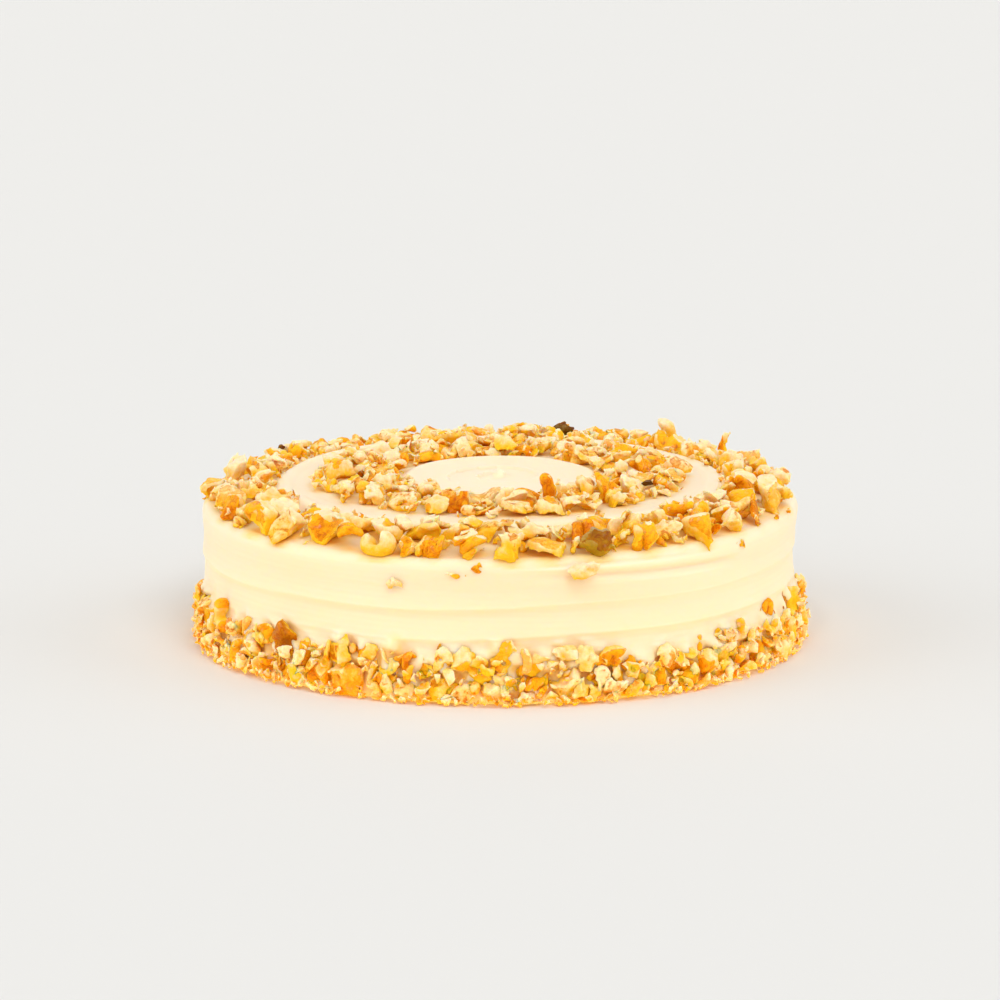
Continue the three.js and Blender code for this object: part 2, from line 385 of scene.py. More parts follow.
# ------------------------------------------------------------------ form of the frosting
class FrostingForm:
    """The frosted surface: a side with one ridge that winds up it, and a top in rings."""

    disc_radius = 32.0
    plateau_radius = 76.5
    last_radius = 106  # past the rim
    bed_drop = 1.6  # from the top's floor to the outer walnuts
    rim_rounding = 3.4
    ledge = 0.3  # share of the ridge's pitch that its steep underside takes
    tilt = 0.4
    lump = 0.35
    profile_step = 0.1
    profile_reach = 14  # steps over which the corners of the profile are rounded, to each side

    def __init__(self, settings):
        self.side_radius = settings.side_radius / MM
        self.rim_height = settings.rim_height / MM
        self.top_height = settings.top_height / MM
        self.pitch = settings.ridge_pitch / MM
        self.start = settings.ridge_start / MM
        self.depth = settings.ridge_depth / MM
        self.spread_profile()

    def spread_profile(self):
        """Profile of the top from the middle out, rounded as a spatula leaves it."""
        disc, plateau, top = self.disc_radius, self.plateau_radius, self.top_height
        bed = top - self.bed_drop
        corners = [
            (0, 1.2 + top),
            (disc - 16, 1.0 + top),
            (disc - 4, 1.8 + top),
            (disc, 2.5 + top),
            (disc + 2.5, 1.0 + top),
            (disc + 8, 0.3 + top),
            (52, top),
            (63, 0.4 + top),
            (70, 0.1 + top),
            (plateau - 1, 0.9 + top),
            (plateau + 0.8, 0.5 + top),
            (plateau + 2.5, bed),
            (92, bed - 2),
            (99, bed - 3.9),
            (101.2, bed - 4.0),
            (self.last_radius, bed - 4.0),
        ]
        radii, heights = zip(*corners)
        self.fine = np.arange(0, self.last_radius, self.profile_step)
        sharp = np.interp(self.fine, radii, heights)
        padded = np.pad(sharp, self.profile_reach, mode="edge")
        weights = np.hanning(2 * self.profile_reach + 1)
        self.profile = np.convolve(padded, weights / weights.sum(), mode="valid")

    def ridge(self, angle, z):
        """How far the ridge that winds up the side stands out."""
        line = 0.45 * np.sin(3 * angle + 0.6) + 0.3 * np.sin(7 * angle)
        turn = (z - self.start - line) / self.pitch - angle / tau
        turn = turn - np.floor(turn)
        above = np.clip(1 - turn / (1 - self.ledge), 0, 1) ** 1.3
        below = np.clip((turn - 1 + self.ledge) / self.ledge, 0, 1) ** 2.2
        lean = np.maximum(above, below)
        firmness = 0.85 + 0.3 * np.sin(2 * angle + z / 7 - 2.2) + 0.15 * np.sin(5 * angle + 2)
        firmness *= 1 - smooth(37, 41, z)
        return self.depth * firmness * lean * smooth(2, 14, z)

    def crease(self, angle, z):
        """A soft fold under the rim, right of the front, that sinks and fades towards its ends."""
        turn = (angle + pi) % tau - pi
        middle = 44.4 - 2.8 * turn
        present = smooth(0.0, 0.35, turn) * (1 - smooth(0.72, 0.95, turn))
        lip = 0.4 * np.exp(-(((z - middle - 2.4) / 1.3) ** 2))
        return present * (lip - 1.25 * np.exp(-(((z - middle) / 1.5) ** 2)))

    def side(self, angle, z):
        """Radius of the side."""
        flare = 1.4 * (z / self.rim_height - 0.5) + 0.8 * smooth(34, 45, z)
        wobble = np.sin(3 * angle + 1.1) + 0.7 * np.sin(5 * angle + z / 9)
        wobble = wobble + 0.3 * np.sin(11 * angle + z / 5)
        drawn = 0.03 * np.sin(z * 3.1 + 4 * np.sin(2 * angle))
        drawn = drawn + 0.02 * np.sin(z * 5.3 + 3 * np.cos(3 * angle))
        pressed = np.sin(angle * 61 + z * 0.5) * np.sin(angle * 37 - z * 0.4 + 1) + np.sin(angle * 89 + z)
        foot = 0.4 * pressed * (1 - smooth(8, 19, z))
        swell = self.side_radius - self.depth / 2 + flare + self.lump * wobble
        return swell + drawn + foot + self.ridge(angle, z) + self.crease(angle, z)

    def lift(self, angle, r):
        """The top's lean and its broad lumps."""
        wobble = np.sin(2 * angle + 0.7) + 0.6 * np.sin(5 * angle)
        return (r / self.side_radius) * (self.tilt * np.sin(angle) + self.lump * wobble)

    def swirl(self, angle, r):
        """The last turns of the spatula: a faint spiral that ends in a small peak at the middle."""
        turn = r / 10.5 - angle / tau
        turn = turn - np.floor(turn)
        groove = 1.0 * (1 - turn) ** 2 * smooth(2, 7, r) * (1 - smooth(13, 28, r))
        rake = 0.12 * np.sin(r * 1.3 + np.sin(angle)) * smooth(60, 66, r) * (1 - smooth(74, 78, r))
        peak = 2.6 * np.exp(-((r / 2.6) ** 2)) * (1 + 0.4 * np.sin(2 * angle + r))
        return groove + rake + peak

    def top(self, angle, r):
        """Height of the top."""
        plateau_waver = 1 + 0.008 * np.sin(2 * angle + 1) + 0.004 * np.sin(9 * angle)
        spread = np.interp(r * plateau_waver, self.fine, self.profile)
        return spread + self.lift(angle, r) + self.swirl(angle, r)

    def crown(self, angle, r):
        """Height of the top, with the rounding of the rim."""
        past = np.clip(r - self.side(angle, self.rim_height) + self.rim_rounding, 0, self.rim_rounding)
        return self.top(angle, r) - self.rim_rounding + np.sqrt(self.rim_rounding**2 - past**2)


def frosting_rows(form, wall_rows=84, corner_rows=8):
    """Rows from the middle of the underside to the middle of the top, each a function of the angle."""
    edge = form.rim_rounding
    inside = form.side_radius - edge

    def rim(angle):
        reach = form.side(angle, form.rim_height - edge)
        return reach, form.top(angle, reach - edge)

    def underside(r):
        return lambda angle: (r + 0 * angle, 0 * angle)

    def wall(share):
        def row(angle):
            z = share * (rim(angle)[1] - edge)
            return form.side(angle, z), z

        return row

    def corner(turn):
        def row(angle):
            reach, height = rim(angle)
            return reach - edge * (1 - cos(turn)), height - edge * (1 - sin(turn))

        return row

    def across(share):
        def row(angle):
            r = share * (rim(angle)[0] - edge)
            return r, form.top(angle, r)

        return row

    rows = [underside(r) for r in (1, 50, 85, 100)]
    rows += [wall(share) for share in np.linspace(0, 1, wall_rows)]
    rows += [corner(turn) for turn in np.linspace(0, pi / 2, corner_rows)[1:]]
    spacings = ((inside, 72, 0.9), (72, 36, 1.3), (36, 0.7, 0.75))  # from a radius to a radius, and the step
    radii = np.concatenate([np.arange(outer, inner, -step) for outer, inner, step in spacings])
    rows += [across(r / inside) for r in radii[1:]]
    return rows


def frosting_mesh(form, columns=440):
    """Points and faces of the whole closed surface."""
    angle = np.arange(columns) * tau / columns
    rows = [around(angle, *row(angle)) for row in frosting_rows(form)]
    points = [np.zeros((1, 3)), *rows, np.array([[0, 0, form.top(0.0, 0.0)]])]
    here = np.arange(columns)
    beside = (here + 1) % columns
    faces = [(0, 1 + b, 1 + a) for a, b in zip(here, beside)]
    for row in range(len(rows) - 1):
        low = 1 + row * columns
        high = low + columns
        faces += np.stack([low + here, low + beside, high + beside, high + here], axis=1).tolist()
    last = 1 + (len(rows) - 1) * columns
    faces += [(last + a, last + b, last + columns) for a, b in zip(here, beside)]
    return np.concatenate(points), faces


# ------------------------------------------------------------------ one chopped piece of walnut
class Ripples:
    """A smooth random field from about -1 to 1, whose waves have about the given length."""

    def __init__(self, rng, wave, count=5):
        heading = rng.normal(size=(count, 3))
        heading /= np.linalg.norm(heading, axis=1, keepdims=True)
        self.heading = heading * tau / (wave * rng.uniform(0.7, 1.4, (count, 1)))
        self.phase = rng.uniform(0, tau, count)

    def __call__(self, points):
        return np.sin(points @ self.heading.T + self.phase).sum(axis=-1) / sqrt(len(self.phase))


def blend_max(first, second, soft=0.18):
    """The larger of two fields, rounded where they meet."""
    share = np.clip(0.5 + 0.5 * (first - second) / soft, 0, 1)
    return second + (first - second) * share + soft * share * (1 - share)


class Sheet:
    """Kernel as a thick folded sheet with skin on one face, or on both."""

    def __init__(self, rng, size, thick):
        self.thick = thick
        self.fold = Ripples(rng, 1.2 * size)
        self.fold_depth = 0.13 * size
        self.swell = Ripples(rng, 0.6 * size)
        self.wrinkle = Ripples(rng, 3.2)
        self.skin_both = rng.random() < 0.25

    def __call__(self, points):
        middle, half = self.shape(points)
        return np.abs(points[..., 2] - middle) - half

    def shape(self, points):
        """Height of the sheet's middle at each point, and half its thickness."""
        flat = points * (1, 1, 0.15)
        half = 0.5 * self.thick * (1 + 0.3 * self.swell(flat)) - 0.35 * np.abs(self.wrinkle(points))
        return self.fold_depth * self.fold(flat), half

    def bears_skin(self, points):
        if self.skin_both:
            return np.ones(len(points))
        return smooth(-0.3, 0.3, points[..., 2] - self.shape(points)[0])


class Lobes:
    """Kernel as rounded ribs side by side, with skin all round."""

    def __init__(self, rng, size, thick, count=None):
        self.count = count or rng.integers(2, 5)
        self.radius = 0.5 * thick * rng.uniform(0.75, 1.1, self.count)
        self.reach = (0.3 if self.count > 1 else 0.42) * size
        self.shift = rng.uniform(-0.15, 0.15, self.count) * size
        self.rise = rng.uniform(-0.12, 0.12, self.count) * size
        self.bend = rng.uniform(0.2, 1.0) * 0.12 * size
        self.wrinkle = Ripples(rng, 2.2)
        self.swell = Ripples(rng, 0.5 * size)

    def __call__(self, points):
        nearest = None
        for lobe in range(self.count):
            x = points[..., 0] - self.shift[lobe]
            y = points[..., 1] - (lobe - (self.count - 1) / 2) * 1.7 * self.radius.mean()
            z = points[..., 2] - self.rise[lobe] - self.bend * (1 - (x / self.reach) ** 2)
            past = np.maximum(np.abs(x) - self.reach, 0)
            away = np.sqrt(past**2 + y**2 + z**2) - self.radius[lobe]
            nearest = away if nearest is None else -blend_max(-nearest, -away, 0.2)
        return nearest + 0.22 * np.abs(self.wrinkle(points)) + 0.2 * self.swell(points)

    def bears_skin(self, points):
        return np.ones(len(points))


class Curl:
    """Kernel as a thick hook that bends round a notch, with skin on its outside."""

    squeeze = 1.35

    def __init__(self, rng, size, thick):
        self.radius = 0.5 * thick
        self.ring = 0.5 * size - self.radius
        self.wrinkle = Ripples(rng, 2.6)
        self.swell = Ripples(rng, 0.6 * size)

    def __call__(self, points):
        x, y = points[..., 0], self.squeeze * points[..., 1]
        off_ring = np.hypot(x, y) - self.ring
        round_ring = np.sqrt(off_ring**2 + (0.85 * points[..., 2]) ** 2) - self.radius
        mouth = np.abs(x + 0.25 * y) - 0.3 * self.ring + 0.45 * (y + 0.1 * self.ring)
        opened = blend_max(round_ring, -blend_max(mouth, y + 0.1 * self.ring, 0.5), 0.4)
        return opened + 0.16 * np.abs(self.wrinkle(points)) + 0.3 * self.swell(points)

    def bears_skin(self, points):
        return smooth(0.9, 1.1, np.hypot(points[..., 0], self.squeeze * points[..., 1]) / self.ring)


class Breaks:
    """Rough broken faces, some hollow and some bulging, that leave a block of about the given size."""

    def __init__(self, rng, size, count, steepness):
        turn = tau * (np.arange(count) + rng.uniform(-0.35, 0.35, count)) / count
        rise = rng.uniform(-steepness, steepness, count)
        level = np.cos(rise)
        self.facing = np.stack([np.cos(turn) * level, np.sin(turn) * level, np.sin(rise)], axis=1)
        stretch = np.where(np.abs(np.cos(turn)) > 0.7, 0.5, 0.34)
        self.away = stretch * size * rng.uniform(0.7, 1.1, count)
        self.bulge = rng.uniform(-0.06, 0.04, count) * 10 / size
        waves = ((0.055 * size, 0.6 * size), (0.2, 2.8), (0.1, 1.6))
        self.chips = [(depth, Ripples(rng, wave)) for depth, wave in waves]

    def __call__(self, points):
        rough = sum(depth * (np.abs(field(points)) - 0.6) for depth, field in self.chips)
        worst = None
        for facing, away, bulge in zip(self.facing, self.away, self.bulge):
            along = points @ facing
            aside = (points**2).sum(axis=-1) - along**2
            face = along - away + bulge * aside
            worst = face if worst is None else blend_max(worst, face, 0.12)
        return worst + rough


class Chunk:
    """One chopped piece: a kernel cut by broken faces."""

    def __init__(self, rng, kind, size):
        self.size = size
        if kind == "lobes":
            self.kernel = Lobes(rng, size, rng.uniform(0.3, 0.4) * size)
            self.breaks = Breaks(rng, 1.05 * size, 5, 0.9)
        elif kind == "finger":
            self.kernel = Lobes(rng, size, 0.44 * size, count=1)
            self.breaks = Breaks(rng, 1.25 * size, 5, 0.9)
        elif kind == "curl":
            self.kernel = Curl(rng, size, 0.44 * size)
            self.breaks = Breaks(rng, 1.4 * size, 5, 0.9)
        elif kind == "splinter":
            self.kernel = Sheet(rng, size, 0.16 * size)
            self.breaks = Breaks(rng, size, 6, 0.6)
            self.breaks.away *= np.where(np.abs(self.breaks.facing[:, 0]) > 0.6, 1.0, 0.4)
        elif kind == "flake":
            self.kernel = Sheet(rng, size, rng.uniform(0.2, 0.3) * size)
            self.breaks = Breaks(rng, size, 6, 0.6)
        else:
            self.kernel = Sheet(rng, size, rng.uniform(0.45, 0.7) * size)
            self.breaks = Breaks(rng, size, 6, 1.0)

    def depth(self, points):
        return blend_max(self.kernel(points), self.breaks(points), 0.12)

    def skin(self, points):
        """1 on the kernel's own surface and 0 on a broken face."""
        unbroken = smooth(-0.25, 0.25, self.kernel(points) - self.breaks(points))
        return unbroken * self.kernel.bears_skin(points)


def surface_net(field):
    """Points, in grid steps, and quads where a field on a grid passes 0."""
    cells = tuple(n - 1 for n in field.shape)
    total = np.zeros((*cells, 3))
    hits = np.zeros(cells)
    crossings = []
    for axis in range(3):
        u, v = (axis + 1) % 3, (axis + 2) % 3
        near = np.moveaxis(field, axis, 0)[:-1]
        far = np.moveaxis(field, axis, 0)[1:]
        crossed = np.moveaxis((near < 0) != (far < 0), 0, axis)
        with np.errstate(divide="ignore", invalid="ignore"):
            share = np.moveaxis(near / (near - far), 0, axis)
        crossings.append((axis, u, v, crossed, np.moveaxis(near < 0, 0, axis)))
        for du in (0, 1):
            for dv in (0, 1):
                window = [slice(None)] * 3
                window[u] = slice(du, du + cells[u])
                window[v] = slice(dv, dv + cells[v])
                hit = crossed[tuple(window)]
                total[..., axis] += np.where(hit, share[tuple(window)], 0)
                total[..., u] += du * hit
                total[..., v] += dv * hit
                hits += hit
    used = hits > 0
    number = np.full(cells, -1)
    number[used] = np.arange(used.sum())
    points = np.argwhere(used) + total[used] / hits[used][:, None]
    quads = []
    for axis, u, v, crossed, inward in crossings:
        place = np.argwhere(crossed)
        across, along = place[:, u], place[:, v]
        place = place[(across > 0) & (along > 0) & (across < cells[u]) & (along < cells[v])]
        step_u, step_v = np.eye(3, dtype=int)[[u, v]]
        ring = [place - step_u - step_v, place - step_v, place, place - step_u]
        quad = np.stack([number[tuple(corner.T)] for corner in ring], axis=1)
        flip = ~inward[tuple(place.T)]
        quad[flip] = quad[flip][:, ::-1]
        quads.append(quad)
    return points, np.concatenate(quads)


def thinned(points, quads, triangles):
    """The same surface with about this many triangles."""
    mesh = bpy.data.meshes.new("thinned")
    mesh.from_pydata(points.tolist(), [], quads.tolist())
    thing = put("thinned", mesh)
    modifier = thing.modifiers.new("thin", "DECIMATE")
    modifier.ratio = min(1.0, triangles / (2 * len(quads)))
    modifier.use_collapse_triangulate = True
    shown = thing.evaluated_get(bpy.context.evaluated_depsgraph_get())
    result = shown.to_mesh()
    result.calc_loop_triangles()
    corners = np.array([corner.co[:] for corner in result.vertices])
    faces = np.array([face.vertices[:] for face in result.loop_triangles])
    shown.to_mesh_clear()
    bpy.data.objects.remove(thing)
    bpy.data.meshes.remove(mesh)
    return corners, faces


def hollowness(points, faces):
    """How far the surface round each point rises above it: -1 on a sharp crest, 1 in a sharp groove."""
    corners = points[faces]
    facing = np.cross(corners[:, 1] - corners[:, 0], corners[:, 2] - corners[:, 0])
    normals = np.zeros_like(points)
    for corner in range(3):
        np.add.at(normals, faces[:, corner], facing)
    normals /= np.linalg.norm(normals, axis=1, keepdims=True) + 1e-9
    here = np.concatenate([faces, faces[:, ::-1]], axis=1).ravel()
    there = np.concatenate([faces[:, (1, 2, 0)], faces[:, (1, 0, 2)]], axis=1).ravel()
    step = points[there] - points[here]
    rise = (normals[here] * step).sum(axis=1) / (np.linalg.norm(step, axis=1) + 1e-9)
    beside = np.bincount(here, minlength=len(points)) + 1e-9
    mean = np.bincount(here, rise, len(points)) / beside
    return 0.5 * mean + 0.5 * np.bincount(here, mean[there], len(points)) / beside


def largest_body(faces, count):
    """The faces of the largest body, without pairs that are folded flat onto each other."""
    _, index, copies = np.unique(np.sort(faces, axis=1), axis=0, return_inverse=True, return_counts=True)
    faces = faces[copies[index.ravel()] == 1]
    body = np.arange(count)
    while True:
        joined = body.copy()
        np.minimum.at(joined, faces.ravel(), np.repeat(body[faces].min(axis=1), 3))
        if np.array_equal(joined, body):
            break
        body = joined
    of_face = body[faces[:, 0]]
    return faces[of_face == np.bincount(of_face).argmax()]


class Model:
    """A chunk's finished surface: a fine cloud for laying it, and a light mesh for showing it."""

    def __init__(self, rng, kind, size, triangles, steps=22):
        chunk = Chunk(rng, kind, size)
        half = 0.72 * size  # more than half the size, because broken faces bulge
        line = np.linspace(-half, half, steps + 6)
        grid = np.stack(np.meshgrid(line, line, line, indexing="ij"), axis=-1)
        field = chunk.depth(grid)
        for side in (0, -1):
            field[side] = field[:, side] = field[:, :, side] = 1.0
        cloud, quads = surface_net(field)
        cloud = cloud * (line[1] - line[0]) - half
        corners, faces = thinned(cloud, quads, triangles)
        middle = corners.mean(axis=0)
        hollow = hollowness(corners, faces)
        kept, faces = np.unique(largest_body(faces, len(corners)), return_inverse=True)
        self.faces = faces.reshape(-1, 3)
        self.skin = chunk.skin(corners[kept])
        self.hollow = hollow[kept]
        self.corners = corners[kept] - middle
        self.cloud = cloud - middle
        self.size = size


class Grade(NamedTuple):
    """A stock of models of about one size."""

    seed: int
    steps: int  # of the grid that each is worked out on
    plan: tuple  # kind, size in millimetres, triangles in each model, and how many models


LARGE = (("block", 11.0, 800, 6), ("lobes", 11.0, 800, 3), ("flake", 12.0, 640, 3), ("block", 9.5, 650, 6))
MEDIUM = (("block", 7.4, 300, 8), ("flake", 8.2, 280, 5), ("lobes", 7.6, 320, 2), ("curl", 7.0, 320, 1))
SMALL = (("block", 5.0, 140, 7), ("flake", 5.2, 120, 6))
CRUMB = (("block", 2.6, 44, 5), ("flake", 3.2, 40, 6))
GRADES = {
    "large": Grade(143, 22, LARGE),
    "medium": Grade(151, 20, MEDIUM),
    "small": Grade(150, 16, SMALL),
    "crumb": Grade(134, 10, CRUMB),
}
_shared = {}


def shared(name, make):
    """A thing that several operators use, made by the first of them."""
    if name not in _shared:
        _shared[name] = make()
    return _shared[name]


def models(name):
    """The models of one grade."""
    grade = GRADES[name]

    def make():
        rng = np.random.default_rng(grade.seed)
        return [
            Model(rng, kind, size, triangles, grade.steps)
            for kind, size, triangles, copies in grade.plan
            for _ in range(copies)
        ]

    return shared(name, make)


# ------------------------------------------------------------------ laying the pieces
def random_turn(rng):
    """An even random turn, as a matrix."""
    return np.array(Quaternion(rng.normal(size=4)).normalized().to_matrix())


class Bed:
    """A grid over the frosting that keeps the height of what already lies on it."""

    cell = 0.75
    clears = 0.93  # share of the ground under a piece that it lies above

    def __init__(self, low, high, bare):
        self.low = np.array(low, float)
        counts = np.ceil((np.array(high) - low) / self.cell).astype(int)
        lines = [self.low[axis] + (np.arange(counts[axis]) + 0.5) * self.cell for axis in (0, 1)]
        self.height = bare(*np.meshgrid(*lines, indexing="ij"))
        self.taken = np.zeros(self.height.shape)

    def footprint(self, cloud, at):
        """Cells under a piece, with its lowest and highest point over each."""
        cells = np.floor((cloud[:, :2] + at - self.low) / self.cell).astype(int)
        first = cells.min(axis=0)
        shape = cells.max(axis=0) - first + 1
        flat = np.ravel_multi_index((cells - first).T, shape)
        under = np.full(shape.prod(), np.inf)
        over = np.full(shape.prod(), -np.inf)
        np.minimum.at(under, flat, cloud[:, 2])
        np.maximum.at(over, flat, cloud[:, 2])
        filled = np.flatnonzero(np.isfinite(under))
        rows, columns = np.unravel_index(filled, shape)
        rows = (rows + first[0]) % self.height.shape[0]
        columns = np.clip(columns + first[1], 0, self.height.shape[1] - 1)
        return (rows, columns), under[filled], over[filled]

    def settle(self, cells, under, sink):
        """Height at which a piece comes to rest, pressed in by sink."""
        return np.quantile(self.height[cells] - under, self.clears) - sink

    def lay(self, cells, over, z):
        """Adds a piece to what lies on the grid."""
        self.height[cells] = np.maximum(self.height[cells], over + z)
        self.taken[cells] = 1.0

    def below_crest(self, first, second, height, reach=3.0):
        """How far some points lie below the pieces round them, in millimetres."""
        steps = round(reach / self.cell)
        crest = self.height
        for axis in (0, 1):
            crest = np.maximum.reduce([np.roll(crest, step, axis) for step in range(-steps, steps + 1)])
        crest = mean_around(crest, steps)
        return crest[self.cells_at(first, second)] - height

    def cells_at(self, first, second):
        """The cells in which some places lie."""
        return tuple(
            np.clip(((place - low) / self.cell).astype(int), 0, size - 1)
            for place, low, size in zip((first, second), self.low, self.height.shape)
        )

    def covered(self, reach):
        """How much of the neighbourhood of each cell is covered, from 0 to 1."""
        return mean_around(self.taken, round(reach / self.cell))


class Heap:
    """Pieces laid so far, gathered into one mesh."""

    sharp_angle = 48  # degrees between two faces from which on their edge shows
    own_share = 0.45  # of how low a point lies in its own piece, next to how deep it lies in the heap, in the painted warm shade

    def __init__(self):
        self.points = []
        self.faces = []
        self.values = {"skin": [], "tone": [], "dark": [], "deep": [], "hollow": []}
        self.count = 0

    def add(self, model, points, tone, dark=0.0, cover=1.0):
        self.points.append(points)
        self.faces.append(model.faces + self.count)
        self.values["skin"].append(np.clip(model.skin * min(cover, 1) + max(cover - 1, 0), 0, 1))
        self.values["tone"].append(np.full(len(points), tone))
        self.values["dark"].append(np.full(len(points), dark))
        # painted warm shade: 1 at the bottom of each piece, 0 at its top
        self.values["deep"].append(1 - (points[:, 2] - points[:, 2].min()) / np.ptp(points[:, 2]))
        self.values["hollow"].append(model.hollow * min(1, model.size / 6))
        self.count += len(points)

    def made(self, name, node_names, finish, depth=None):
        values = {label: np.concatenate(parts) for label, parts in self.values.items()}
        points = np.concatenate(self.points)
        # painted warm shade also grows with depth below the crest of the heap
        if depth is not None:
            values["deep"] *= self.own_share
            values["deep"] += (1 - self.own_share) * np.clip(depth(points), 0, 1)
        faces = np.concatenate(self.faces).tolist()
        thing = piece(name, points, faces, node_names, finish, values)
        thing.data.set_sharp_from_angle(angle=radians(self.sharp_angle))
        return thing


def tone_of(rng):
    """Most pieces are light, and some are brown."""
    return float(np.clip(rng.normal(0.3, 0.26), 0, 1))


def form_of(context):
    """The frosted surface, as its settings make it."""
    return shared("form", lambda: FrostingForm(context.scene.cake_frosting))


def top_bed(context):
    """The top seen from above, with a deep drop past its rim."""
    form = form_of(context)
    reach = 114.0
    drop = -60.0

    def bare(x, y):
        r = np.hypot(x, y)
        angle = np.arctan2(x, -y)
        return np.where(r < form.side(angle, form.rim_height), form.crown(angle, r), drop)

    return shared("top_bed", lambda: Bed((-reach, -reach), (reach, reach), bare))


def foot_bed(context):
    """The side unrolled: its first axis runs round the cake, its second up, and its height outwards."""
    form = form_of(context)
    half_turn = pi * form.side_radius
    return shared("foot_bed", lambda: Bed((-half_turn, -4), (half_turn, 48), lambda u, v: 0 * u))


# how far below the crest round it a point counts as lying deep, in the painted warm shade
DEEP_ON_TOP = 4.5
DEEP_AT_FOOT = 4.0


def depth_on_top(context):
    """Tells how deep points lie in the walnuts on the top, from 0 at the crest to 1, for their painted warm
    shade.
    """
    bed = top_bed(context)
    return lambda points: bed.below_crest(*points.T) / DEEP_ON_TOP


def depth_on_foot(context):
    """Tells how deep points lie in the walnuts round the foot, from 0 at the crest to 1, for their painted
    warm shade.
    """
    bed = foot_bed(context)
    form = form_of(context)

    def depth(points):
        angle = np.arctan2(points[:, 0], -points[:, 1])
        height = np.hypot(points[:, 0], points[:, 1]) - form.side(angle, points[:, 2])
        return bed.below_crest(angle * form.side_radius, points[:, 2], height) / DEEP_AT_FOOT

    return depth


def choose(rng, grades):
    """A model of one of the grades, drawn by their weights, and a scale for it."""
    names = list(grades)
    weights = np.array([grades[name] for name in names], float)
    grade = names[rng.choice(len(names), p=weights / weights.sum())]
    stock = models(grade)
    return stock[rng.integers(len(stock))], rng.uniform(0.85, 1.15)


class Find(NamedTuple):
    """A piece that stands out among the others, and where it lies."""

    degrees: float  # round the cake from the front towards +X
    place: float  # distance from the axis, or height of its middle for one on the side
    kind: str
    size: float  # across
    tone: float  # from pale and amber to brown
    cover: float  # 0 without skin, 1 as it broke, 2 with skin all over
    dark: float = 0.0
    tip: float = 90.0  # its broad face: 0 faces away from the axis, 90 faces up
    roll: float = 0.0  # its long side: 0 level, 90 upright


OUTER_FINDS = (
    Find(165.5, 90.5, "block", 6.6, 1.0, 1.5, dark=0.85, tip=50),
    Find(18.6, 100.8, "block", 9.5, 0.8, 0.8, dark=0.55, tip=30, roll=20),
    Find(17.6, 92.5, "lobes", 11.0, 0.85, 1.5, tip=40, roll=80),
    Find(12.5, 93.5, "splinter", 10.0, 0.7, 1, tip=0, roll=80),
    Find(-23.9, 100.3, "curl", 13.0, 0.25, 0.3, tip=25, roll=182),
    Find(-37.6, 95.0, "flake", 15.0, 0.55, 1.0, tip=45, roll=25),
    Find(-40.5, 101.0, "splinter", 9.0, 0.3, 0.3, tip=50, roll=35),
    Find(-47.9, 97.5, "block", 11.0, 0.1, 0.4, tip=40, roll=60),
    Find(-54.8, 99.5, "block", 10.5, 0.45, 1.2, tip=20),
    Find(-62.4, 101.0, "lobes", 8.5, 0.15, 0.4, tip=30),
    Find(-69.5, 98.0, "block", 11.0, 0.6, 1.2, tip=20, roll=60),
    Find(-97.5, 95.3, "block", 11.5, 0.15, 0.4, tip=30, roll=90),
    Find(-103.4, 88.3, "block", 9.5, 0.4, 1.1, tip=40),
    Find(-91.0, 101.5, "flake", 11.0, 0.4, 0.6, tip=40, roll=60),
    Find(-107.0, 99.0, "block", 10.0, 0.2, 0.6, tip=40, roll=70),
    Find(-31.0, 98.5, "lobes", 10.0, 0.5, 1.0, tip=60, roll=15),
    Find(-13.5, 99.5, "lobes", 10.0, 0.4, 0.8, tip=30, roll=80),
    Find(-6.0, 98.0, "lobes", 12.0, 0.35, 0.7, tip=40, roll=30),
    Find(-9.5, 88.0, "block", 10.0, 0.3, 0.6, tip=30),
    Find(2.0, 101.5, "block", 8.5, 0.4, 0.5, tip=50, roll=80),
    Find(9.2, 97.5, "flake", 14.5, 0.35, 0.6, tip=85, roll=-20),
    Find(29.0, 100.0, "lobes", 12.0, 0.45, 1.0, tip=30, roll=75),
    Find(36.0, 95.5, "block", 10.0, 0.15, 0.4, tip=40),
    Find(43.0, 98.5, "block", 12.5, 0.4, 0.9, tip=35, roll=40),
    Find(49.0, 90.0, "block", 10.0, 0.35, 0.7, tip=60, roll=60),
    Find(53.0, 99.0, "block", 9.0, 0.1, 0.4, tip=40),
    Find(62.4, 98.5, "splinter", 14.0, 0.85, 1.6, tip=10, roll=75),
    Find(72.7, 97.5, "block", 13.0, 0.2, 0.6, tip=20, roll=60),
    Find(84.0, 97.0, "lobes", 11.0, 0.55, 1.0, tip=30, roll=20),
    Find(94.0, 97.8, "lobes", 9.0, 0.6, 1.2, tip=30, roll=50),
    Find(122.3, 95.0, "splinter", 16.5, 0.5, 1.0, tip=10, roll=80),
    Find(137.4, 89.5, "finger", 12.0, 0.2, 0.3, tip=0, roll=85),
)
INNER_FINDS = (
    Find(19.5, 49.5, "finger", 10.0, 0.7, 1.2, tip=0, roll=100),
    Find(30.5, 47.0, "curl", 9.0, 0.2, 0.5, tip=5, roll=190),
    Find(9.5, 53.5, "lobes", 7.0, 0.75, 1.2, tip=30),
    Find(4.0, 45.5, "flake", 8.5, 0.1, 0.3, tip=0, roll=82),
    Find(-16.8, 54.0, "block", 7.6, 0.95, 1.5, tip=15),
    Find(-35.6, 58.0, "flake", 13.0, 0.35, 0.4, tip=60),
    Find(-84.5, 57.5, "block", 12.0, 0.45, 0.8, tip=60),
    Find(-72.0, 50.0, "splinter", 11.0, 0.05, 0.1, tip=10, roll=70),
    Find(-161.0, 61.0, "flake", 12.0, 0.85, 1.2, tip=40),
    Find(93.6, 50.0, "lobes", 12.0, 0.5, 1.0, tip=40, roll=60),
    Find(58.6, 54.0, "block", 10.5, 0.05, 0.2, tip=80),
    Find(44.0, 52.0, "lobes", 9.0, 0.55, 0.8, tip=20, roll=60),
)
